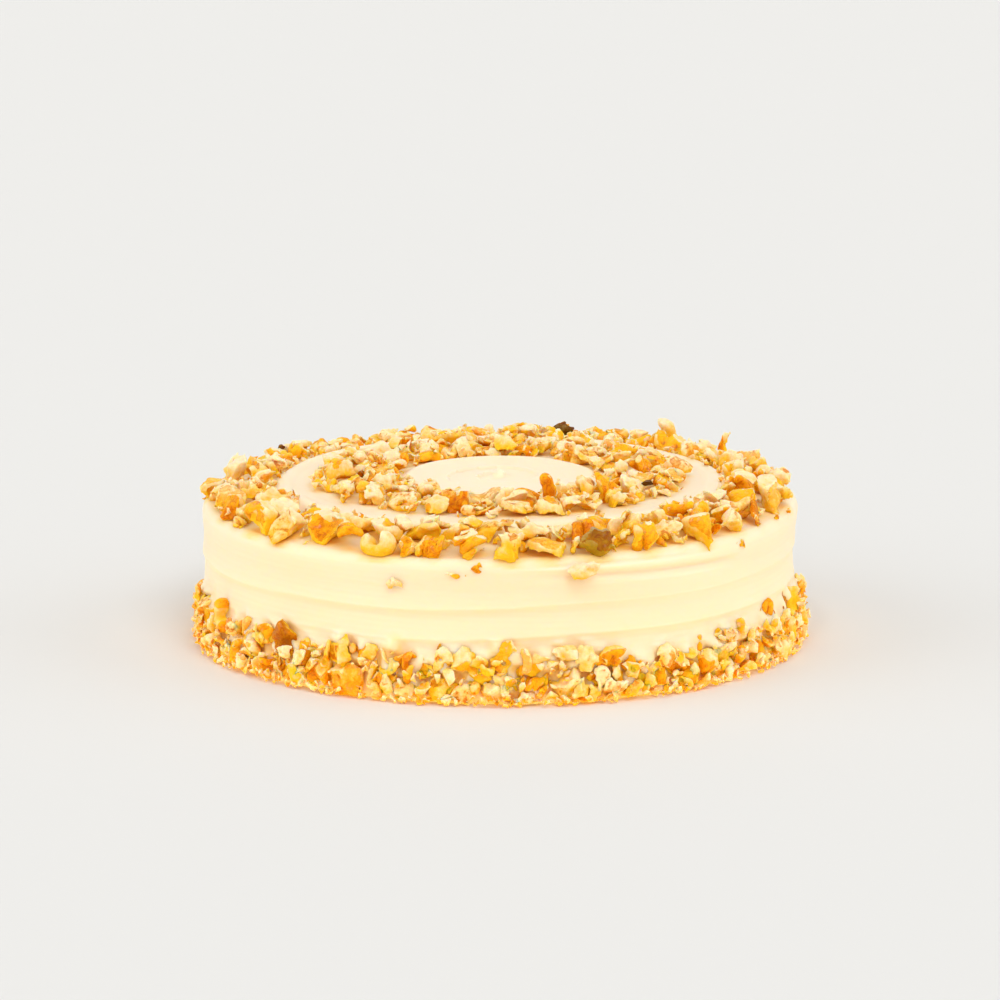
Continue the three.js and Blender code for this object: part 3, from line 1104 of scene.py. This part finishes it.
DARK_FINDS = (
    Find(-97.5, 41.0, "splinter", 5.0, 0.9, 2.0, dark=0.85, tip=50),
    Find(-81.7, 37.0, "block", 3.5, 0.9, 2.0, dark=0.85),
    Find(-138.3, 52.0, "block", 3.4, 0.9, 2.0, dark=0.85),
    Find(-124.0, 95.0, "splinter", 6.0, 0.9, 2.0, dark=0.75, tip=30),
    Find(63.0, 57.5, "block", 3.5, 0.9, 2.0, dark=0.85),
    Find(84.0, 54.0, "splinter", 6.0, 0.9, 2.0, dark=0.75, tip=50),
)
FOOT_FINDS = (
    Find(-45.0, 14.5, "block", 11.5, 1.0, 1.4, dark=0.3, roll=130),
    Find(-50.3, 15.5, "lobes", 9.5, 0.4, 0.8, roll=20),
    Find(-39.9, 10.5, "finger", 11.5, 0.4, 1.0, roll=75),
    Find(-35.7, 7.0, "block", 9.0, 0.6, 1.3),
    Find(-29.4, 9.2, "finger", 7.5, 0.5, 1.0, roll=10),
    Find(-20.1, 19.0, "flake", 7.5, 0.1, 0.5, roll=60),
    Find(-65.6, 16.5, "curl", 12.5, 0.4, 0.9, roll=100),
    Find(-77.3, 14.7, "block", 9.0, 0.6, 1.2),
    Find(-72.6, 22.5, "splinter", 8.0, 0.6, 1.0, roll=80),
    Find(-10.6, 16.0, "block", 8.0, 0.1, 0.4, roll=60),
    Find(-11.3, 19.5, "splinter", 6.0, 0.9, 1.8, dark=0.4, roll=35),
    Find(-14.5, 13.0, "flake", 10.0, 0.45, 1.0, roll=-25),
    Find(0.4, 17.0, "flake", 12.0, 0.2, 0.7, roll=85),
    Find(8.0, 6.5, "lobes", 9.0, 0.3, 0.8, roll=70),
    Find(12.0, 17.0, "block", 7.5, 0.1, 0.3),
    Find(16.5, 16.4, "splinter", 7.0, 0.9, 1.8, dark=0.4, roll=10),
    Find(20.4, 15.6, "block", 7.0, 0.5, 1.2, roll=60),
    Find(17.0, 9.5, "splinter", 9.0, 0.6, 1.2, roll=-60),
    Find(34.1, 9.5, "block", 6.5, 0.5, 1.3),
    Find(51.2, 15.0, "flake", 9.0, 0.15, 0.7, roll=40),
    Find(45.5, 16.5, "finger", 7.0, 0.2, 0.7, roll=85),
    Find(54.5, 7.2, "flake", 7.0, 0.9, 1.3, dark=0.3),
    Find(61.9, 19.5, "lobes", 10.0, 0.65, 1.0, roll=80),
    Find(71.3, 19.0, "flake", 9.0, 0.9, 1.3, dark=0.3, roll=60),
    Find(40.5, 14.5, "finger", 6.0, 0.3, 0.8, roll=80),
    Find(26.5, 9.5, "block", 6.0, 0.3, 0.8),
)
SIDE_FINDS = (
    Find(15.2, 46.0, "block", 8.0, 0.1, 0.1),
    Find(-8.0, 44.5, "splinter", 7.0, 0.2, 0.8, roll=10),
    Find(-4.0, 46.5, "flake", 4.0, 0.7, 1.4),
    Find(-19.8, 40.5, "block", 4.5, 0.3, 0.3),
    Find(52.0, 46.5, "flake", 4.5, 0.5, 1.0),
)


def tilted(right, up, out, find):
    """A turn that faces a piece and lays its long side as told, as a matrix."""
    tip, roll = radians(find.tip), radians(find.roll)
    facing = out * cos(tip) + up * sin(tip)
    level = right * cos(roll) + np.cross(facing, right) * sin(roll)
    return np.stack([level, np.cross(facing, level), facing], axis=1)


def model_of(find):
    """A model of its own for a piece that stands out."""
    place_and_size = (int(abs(10 * find.degrees)), int(10 * find.size))
    rng = np.random.default_rng([0, *place_and_size])
    return Model(rng, find.kind, find.size, int(11 * find.size**1.9))


def lay_finds_on_top(context, heap, finds, sink=0.8):
    """Lays each piece on the top where it belongs, as deep as what lies there lets it."""
    bed = top_bed(context)
    for find in finds:
        model = model_of(find)
        angle = radians(find.degrees)
        out = around(angle, 1.0, 0.0)
        turn = tilted(around(angle + pi / 2, 1.0, 0.0), np.array([0, 0, 1.0]), out, find)
        at = around(angle, find.place, 0.0)[:2]
        cells, under, over = bed.footprint(model.cloud @ turn.T, at)
        z = bed.settle(cells, under, sink)
        bed.lay(cells, over, z)
        heap.add(model, model.corners @ turn.T + (*at, z), find.tone, find.dark, find.cover)


FLOOR_GAP = 0.15  # between the lowest pieces and the floor
FOOT_FIND_REACH = 5.8  # how far a piece that stands out may reach past the side
FOOT_REACH = 6.4  # and how far any other one may


def lay_finds_on_foot(context, heap, finds, sink=1.6):
    """Presses each piece into the side where it belongs."""
    bed = foot_bed(context)
    form = form_of(context)
    right, up, out = np.eye(3)
    for find in finds:
        model = model_of(find)
        turn = tilted(right, up, out, find._replace(tip=0))
        cloud = model.cloud @ turn.T
        angle = radians(find.degrees)
        v = max(find.place, FLOOR_GAP - cloud[:, 1].min())
        cells, under, over = bed.footprint(cloud, np.array([angle * form.side_radius, v]))
        h = min(bed.settle(cells, under, sink), FOOT_FIND_REACH - over.max())
        bed.lay(cells, over, h)
        points = on_the_side(form, model.corners @ turn.T, angle, v, h)
        heap.add(model, points, find.tone, find.dark, find.cover)


# degrees round the cake, and the share of its full height that the outer heap reaches there
FULLNESS = (
    (0, 1.0),
    (112, 1.05),
    (135, 0.95),
    (152, 0.75),
    (203, 0.76),
    (214, 0.68),
    (232, 0.72),
    (250, 0.95),
    (360, 1.0),
)


def fullness(angle, r):
    """Share of its full height that a heap on the top reaches: the outer one is lower at the back."""
    if r <= FrostingForm.plateau_radius:
        return 1.0
    degrees, shares = zip(*FULLNESS)
    return float(np.interp(angle * 360 / tau % 360, degrees, shares))


class Layer(NamedTuple):
    """Some of a band's pieces, and where and how they are laid."""

    share: float  # of the band's count
    low: float  # smallest radius, or lowest share of the skyline at the foot
    high: float
    grades: dict  # how often each grade comes
    tries: int = 12
    sink: float = 0.5  # how deep a piece is pressed in
    tallest: tuple = (6.5, 9.5)  # how high a piece may reach on the top, drawn between these


FINE = {"medium": 1, "small": 1}
OUTER_LAYERS = (
    Layer(0.36, 81.0, 101.5, {"large": 1}, tries=16),
    Layer(0.4, 80.0, 101.0, {"large": 1, "medium": 2}, tries=16),
    Layer(0.24, 79.5, 102.0, FINE),
    Layer(0.8, 80.0, 103.0, FINE, tries=16, tallest=(3, 5)),
)
INNER_LAYERS = (
    Layer(0.34, 34.5, 65.0, {"large": 1}, tries=16, tallest=(5, 7)),
    Layer(0.4, 36.0, 64.0, {"large": 1, "medium": 3}, tallest=(5, 8)),
    Layer(0.26, 34.0, 65.5, FINE),
    Layer(0.8, 36.0, 65.5, FINE, tries=16, tallest=(3, 5)),
)
FOOT_LAYERS = (
    Layer(0.2, 0.0, 0.5, {"large": 1, "medium": 3}, sink=1.7),
    Layer(0.12, 0.4, 0.85, {"large": 2, "medium": 3}, sink=1.7),
    Layer(0.24, 0.25, 0.8, {"medium": 3, "small": 2}, tries=14, sink=1.2),
    Layer(0.44, 0.0, 0.45, FINE, tries=14, sink=1.2),
)
TOP_CRUMB_LAYERS = (
    Layer(0.13, 75.5, 103.0, {"crumb": 1}, tries=2, sink=0.3, tallest=(4, 7)),
    Layer(0.1, 33.0, 67.0, {"crumb": 1}, tries=2, sink=0.3, tallest=(4, 7)),
)
FOOT_CRUMB_LAYERS = (
    Layer(0.42, 0.0, 0.2, {"crumb": 1}, tries=2, sink=0.3),
    Layer(0.07, 0.2, 0.8, {"crumb": 1}, tries=4, sink=0.4),
)


def fill(context, heap, rng, count, layers, drop):
    """Drops each layer's share of the count, one piece after the other."""
    for layer in layers:
        for _ in range(int(layer.share * count)):
            drop(context, heap, rng, layer)


def drop_on_top(context, heap, rng, layer):
    """Drops a piece where it lies lowest of a few tries, unless it stands too tall even there."""
    bed = top_bed(context)
    form = form_of(context)
    model, scale = choose(rng, layer.grades)
    tallest = rng.uniform(*layer.tallest)
    margin = 0.32 * model.size * scale  # keeps it from hanging over either edge of the ring
    best = None
    for _ in range(layer.tries):
        angle = rng.uniform(-pi, pi)
        r = sqrt(rng.uniform((layer.low + margin) ** 2, (layer.high - margin) ** 2))
        r *= 1 + 0.006 * sin(5 * angle + 1) + 0.006 * sin(11 * angle)
        turn = random_turn(rng) * scale
        at = around(angle, r, 0.0)[:2]
        cells, under, over = bed.footprint(model.cloud @ turn.T, at)
        z = bed.settle(cells, under, layer.sink)
        ground = form.top(angle, r)
        rise = z + over.max() - ground
        cost = (rise > tallest * fullness(angle, r), z - ground + 0.5 * rise)
        if best is None or cost < best[0]:
            best = (cost, at, z, turn, cells, over)
    (too_tall, _), at, z, turn, cells, over = best
    if too_tall:
        return
    bed.lay(cells, over, z)
    heap.add(model, model.corners @ turn.T + (*at, z), tone_of(rng), cover=rng.uniform(0.35, 1.0))


def skyline(angle):
    """Height that the walnuts round the foot climb to: higher at both sides than in front, with peaks."""
    waves = 0.5 * sin(9 * angle + 0.4) + 0.3 * sin(14 * angle + 2) - 0.4 * cos(2 * angle)
    return 19.5 + 4 * waves + 2.2 * sin(23 * angle + 1) * sin(3 * angle)


def drop_on_foot(context, heap, rng, layer):
    """Presses a piece into the side where it goes deepest of a few tries, unless it sticks out there."""
    bed = foot_bed(context)
    form = form_of(context)
    model, scale = choose(rng, layer.grades)
    best = None
    for _ in range(layer.tries):
        angle = rng.uniform(-pi, pi)
        turn = random_turn(rng) * scale
        cloud = model.cloud @ turn.T
        ceiling = skyline(angle)
        v = layer.low * ceiling + (layer.high - layer.low) * ceiling * rng.random()
        v = max(v, FLOOR_GAP - cloud[:, 1].min())
        cells, under, over = bed.footprint(cloud, np.array([angle * form.side_radius, v]))
        h = bed.settle(cells, under, layer.sink)
        out = h + over.max()
        cost = (out > FOOT_REACH, h + 0.6 * out)
        if best is None or cost < best[0]:
            best = (cost, angle, v, h, turn, cells, over)
    (sticks_out, _), angle, v, h, turn, cells, over = best
    if sticks_out:
        return
    bed.lay(cells, over, h)
    points = on_the_side(form, model.corners @ turn.T, angle, v, h)
    heap.add(model, points, tone_of(rng), cover=rng.uniform(0.3, 0.9))


def on_the_side(form, points, angle, v, h):
    """Points of a piece laid on the unrolled side, put where they stand on the cake."""
    right = np.array([cos(angle), sin(angle), 0.0])
    out = np.array([sin(angle), -cos(angle), 0.0])
    base = out * (form.side(angle, v) + h) + (0, 0, v)
    along = np.outer(points[:, 0], right)
    upright = np.outer(points[:, 1], (0, 0, 1))
    return base + along + upright + np.outer(points[:, 2], out)


# ------------------------------------------------------------------ operators
# how far light goes into the flesh, in metres, and how golden it is all over: the foot's gold is painted
# warm bounce light from below
WALNUT_FINISHES = {
    "chopped_walnut": (0.0022, 0.0),
    "pressed_walnut": (0.0018, 0.12),
    "walnut_crumb": (0.0006, 0.0),
}


def walnut_material(context, name):
    """One of the walnut finishes, in the colours that are set."""
    settings = context.scene.cake_walnuts
    return shared(name, lambda: walnut_finish(settings, name, *WALNUT_FINISHES[name]))


def generator(context, offset):
    """Random numbers of its own for each band."""
    return np.random.default_rng(context.scene.cake_walnuts.seed * 100 + offset)


class CAKE_OT_outer_walnuts(bpy.types.Operator):
    """Heap chopped walnuts on the shoulder, inside the rim"""

    bl_idname = "cake.outer_walnuts"
    bl_label = "Outer walnuts"

    def execute(self, context):
        heap = Heap()
        count = context.scene.cake_walnuts.outer_count
        lay_finds_on_top(context, heap, OUTER_FINDS)
        fill(context, heap, generator(context, 1), count, OUTER_LAYERS, drop_on_top)
        finish = walnut_material(context, "chopped_walnut")
        heap.made("outer_walnuts", ["outer_walnut_band"], finish, depth_on_top(context))
        return {"FINISHED"}


class CAKE_OT_inner_walnuts(bpy.types.Operator):
    """Heap chopped walnuts in a ring round the bare middle"""

    bl_idname = "cake.inner_walnuts"
    bl_label = "Inner walnuts"

    def execute(self, context):
        heap = Heap()
        count = context.scene.cake_walnuts.inner_count
        lay_finds_on_top(context, heap, INNER_FINDS)
        fill(context, heap, generator(context, 2), count, INNER_LAYERS, drop_on_top)
        finish = walnut_material(context, "chopped_walnut")
        heap.made("inner_walnuts", ["inner_walnut_band"], finish, depth_on_top(context))
        return {"FINISHED"}


class CAKE_OT_foot_walnuts(bpy.types.Operator):
    """Press chopped walnuts into the side round the foot"""

    bl_idname = "cake.foot_walnuts"
    bl_label = "Foot walnuts"

    def execute(self, context):
        heap = Heap()
        count = context.scene.cake_walnuts.foot_count
        lay_finds_on_foot(context, heap, FOOT_FINDS)
        fill(context, heap, generator(context, 3), count, FOOT_LAYERS, drop_on_foot)
        finish = walnut_material(context, "pressed_walnut")
        heap.made("foot_walnuts", ["foot_walnut_band"], finish, depth_on_foot(context))
        return {"FINISHED"}


class CAKE_OT_crumbs(bpy.types.Operator):
    """Scatter walnut crumbs and flakes in and round the bands"""

    bl_idname = "cake.crumbs"
    bl_label = "Walnut crumbs"

    def execute(self, context):
        heap = Heap()
        rng = generator(context, 4)
        count = context.scene.cake_walnuts.crumb_count
        lay_finds_on_foot(context, heap, SIDE_FINDS, sink=1.2)
        lay_finds_on_top(context, heap, DARK_FINDS, sink=1.4)
        fill(context, heap, rng, count, TOP_CRUMB_LAYERS, drop_on_top)
        fill(context, heap, rng, count, FOOT_CRUMB_LAYERS, drop_on_foot)
        heap.made("walnut_crumbs", [], walnut_material(context, "walnut_crumb"))
        return {"FINISHED"}


class CAKE_OT_frosting(bpy.types.Operator):
    """Spread the frosting over the whole cake"""

    bl_idname = "cake.frosting"
    bl_label = "Frosting"

    near = 2.0  # walnuts within this reach stain the frosting and tint it with painted warm bounce light
    further = 3.5  # and it takes painted warm shade where they cover all within this one
    lump_size = 7.0
    pressed_out = 2.6  # how far the frosting swells out between the walnuts at the foot

    def execute(self, context):
        form = form_of(context)
        points, faces = frosting_mesh(form)
        angle = np.arctan2(points[:, 0], -points[:, 1])
        lies_up = points[:, 2] > form.rim_height

        def covered(reach):
            """How covered with walnuts the neighbourhood of each point is."""
            on_top = self.read(top_bed(context), points[:, 0], points[:, 1], reach)
            at_foot = self.read(foot_bed(context), angle * form.side_radius, points[:, 2], reach)
            return np.where(lies_up, on_top, at_foot * (1 - smooth(25, 33, points[:, 2])))

        near = covered(self.near)
        bulges = Ripples(np.random.default_rng(11), self.lump_size, 8)
        lumps = np.where(lies_up, 0, 0.5 + 0.5 * bulges(points))
        # less stain, painted warm bounce and painted warm shade on the side, and least on the lumps that
        # swell out between the walnuts
        stain_and_shade_share = np.where(lies_up, 1, 0.75) * (1 - 0.8 * smooth(0.5, 0.8, lumps))
        values = {
            "stain_and_bounce": np.clip(1.7 * near - 0.3, 0, 1) * 0.85 * stain_and_shade_share,
            "painted_gap_shade": smooth(0.6, 0.95, covered(self.further)) * stain_and_shade_share,
        }
        self.press_out(points, form, angle, near, lumps)
        finish = frosting_finish(context.scene.cake_frosting)
        piece("frosting", points, faces, ["frosted_cake"], finish, values)
        return {"FINISHED"}

    def press_out(self, points, form, angle, near_foot, lumps):
        """Frosting squeezed out between the pieces pressed into the foot."""
        near_side = np.hypot(points[:, 0], points[:, 1]) > form.side_radius - 6
        outside = (points[:, 2] < form.rim_height) & near_side
        low = smooth(0, 2, points[:, 2]) * (1 - smooth(20, 27, points[:, 2]))
        swell = self.pressed_out * np.clip(1.5 * near_foot, 0, 1) * np.clip(lumps, 0.1, 1) * low
        out = around(angle, np.ones(len(points)), 0.0)
        points += out * (swell * outside)[:, None]

    @staticmethod
    def read(bed, first, second, reach):
        """How covered a bed is at some places."""
        return bed.covered(reach)[bed.cells_at(first, second)]


# name, share of the strength that is set, and in degrees: elevation, turn from the front to +X, softness
SUNS = (
    ("key", 0.95, 50, 22, 30),
    ("glint", 0.2, 58, -25, 5),
    ("front", 0.36, 14, -5, 60),
    ("left", 1.05, 20, -78, 60),
    ("right", 0.8, 20, 85, 60),
    ("back", 0.32, 4, 180, 60),
)
SUN_COLOUR = (1.0, 0.985, 0.96)
SKY_COLOUR = (1.0, 0.995, 0.985)
CARD_COLOUR = (1.0, 0.6, 0.1)


class CAKE_OT_stage(bpy.types.Operator):
    """Set the floor, the soft light and the camera"""

    bl_idname = "cake.stage"
    bl_label = "Stage"

    def execute(self, context):
        settings = context.scene.cake_stage
        self.lay_floor()
        for name, share, *placing in SUNS:
            self.light(name, share * settings.key_power, *placing)
        self.bounce("bounce", settings.bounce_power)
        world = bpy.data.worlds.new("studio")
        world.use_nodes = True
        background = world.node_tree.nodes["Background"]
        background.inputs["Color"].default_value = opaque(SKY_COLOUR)
        background.inputs["Strength"].default_value = settings.sky_power
        context.scene.world = world
        context.scene.view_settings.view_transform = "Standard"
        self.stand_camera(context, settings)
        return {"FINISHED"}

    @staticmethod
    def lay_floor(side=16.0, under=0.0002):
        """A floor a hair under the cake, in metres."""
        mesh = bpy.data.meshes.new("floor")
        half = side / 2
        corners = [(x * half, y * half, -under) for x, y in ((-1, -1), (1, -1), (1, 1), (-1, 1))]
        mesh.from_pydata(corners, [], [(0, 1, 2, 3)])
        mesh.materials.append(floor_finish())
        ground = put("floor", mesh)

    @staticmethod
    def light(name, power, elevation, turn, softness):
        """A wide soft sun, with its angles in degrees."""
        lamp = bpy.data.lights.new(name, "SUN")
        lamp.energy = power
        lamp.angle = radians(softness)
        lamp.color = SUN_COLOUR
        level = cos(radians(elevation))
        turned = radians(turn)
        source = Vector((level * sin(turned), -level * cos(turned), sin(radians(elevation))))
        put(name, lamp).rotation_euler = source.to_track_quat("Z", "Y").to_euler()

    @staticmethod
    def bounce(name, power, side=0.3):
        """A warm card under the cake that lights the foot from below, out of the camera's sight."""
        lamp = bpy.data.lights.new(name, "AREA")
        lamp.shape = "DISK"
        lamp.size = side
        lamp.energy = power
        lamp.color = CARD_COLOUR
        card = put(name, lamp)
        card.rotation_euler = (pi, 0, 0)
        card.visible_camera = False

    @staticmethod
    def stand_camera(context, settings):
        """The camera in front of the cake, aimed at its axis."""
        data = bpy.data.cameras.new("camera")
        data.lens = settings.lens
        data.clip_end = 30
        camera = put("camera", data)
        level = settings.distance * cos(settings.elevation)
        camera.location = (0, -level, settings.distance * sin(settings.elevation))
        aim = Vector((0, 0, settings.aim_height)) - camera.location
        camera.rotation_euler = aim.to_track_quat("-Z", "Y").to_euler()
        context.scene.camera = camera


class CAKE_PT_sidebar(bpy.types.Panel):
    """The cake's operators and settings"""

    bl_idname = "CAKE_PT_sidebar"
    bl_label = "Carrot cake"
    bl_space_type = "VIEW_3D"
    bl_region_type = "UI"
    bl_category = "Cake"

    def draw(self, context):
        for operator in OPERATORS:
            self.layout.operator(operator.bl_idname)
        scene = context.scene
        for group in (scene.cake_frosting, scene.cake_walnuts, scene.cake_stage):
            box = self.layout.box()
            for name in group.bl_rna.properties.keys():
                if name not in ("rna_type", "name"):
                    box.prop(group, name)


# The bands are laid before the frosting, which takes walnut stain, painted warm bounce light and painted
# warm shade where they touch it.
OPERATORS = (
    CAKE_OT_outer_walnuts,
    CAKE_OT_inner_walnuts,
    CAKE_OT_foot_walnuts,
    CAKE_OT_crumbs,
    CAKE_OT_frosting,
    CAKE_OT_stage,
)
CLASSES = (FrostingSettings, WalnutSettings, StageSettings, *OPERATORS, CAKE_PT_sidebar)


def register():
    for cls in CLASSES:
        bpy.utils.register_class(cls)
    bpy.types.Scene.cake_frosting = PointerProperty(type=FrostingSettings)
    bpy.types.Scene.cake_walnuts = PointerProperty(type=WalnutSettings)
    bpy.types.Scene.cake_stage = PointerProperty(type=StageSettings)


def unregister():
    del bpy.types.Scene.cake_stage
    del bpy.types.Scene.cake_walnuts
    del bpy.types.Scene.cake_frosting
    for cls in reversed(CLASSES):
        bpy.utils.unregister_class(cls)


def main():
    register()
    bpy.ops.cake.outer_walnuts()
    bpy.ops.cake.inner_walnuts()
    bpy.ops.cake.foot_walnuts()
    bpy.ops.cake.crumbs()
    bpy.ops.cake.frosting()
    bpy.ops.cake.stage()


if __name__ == "__main__":
    main()
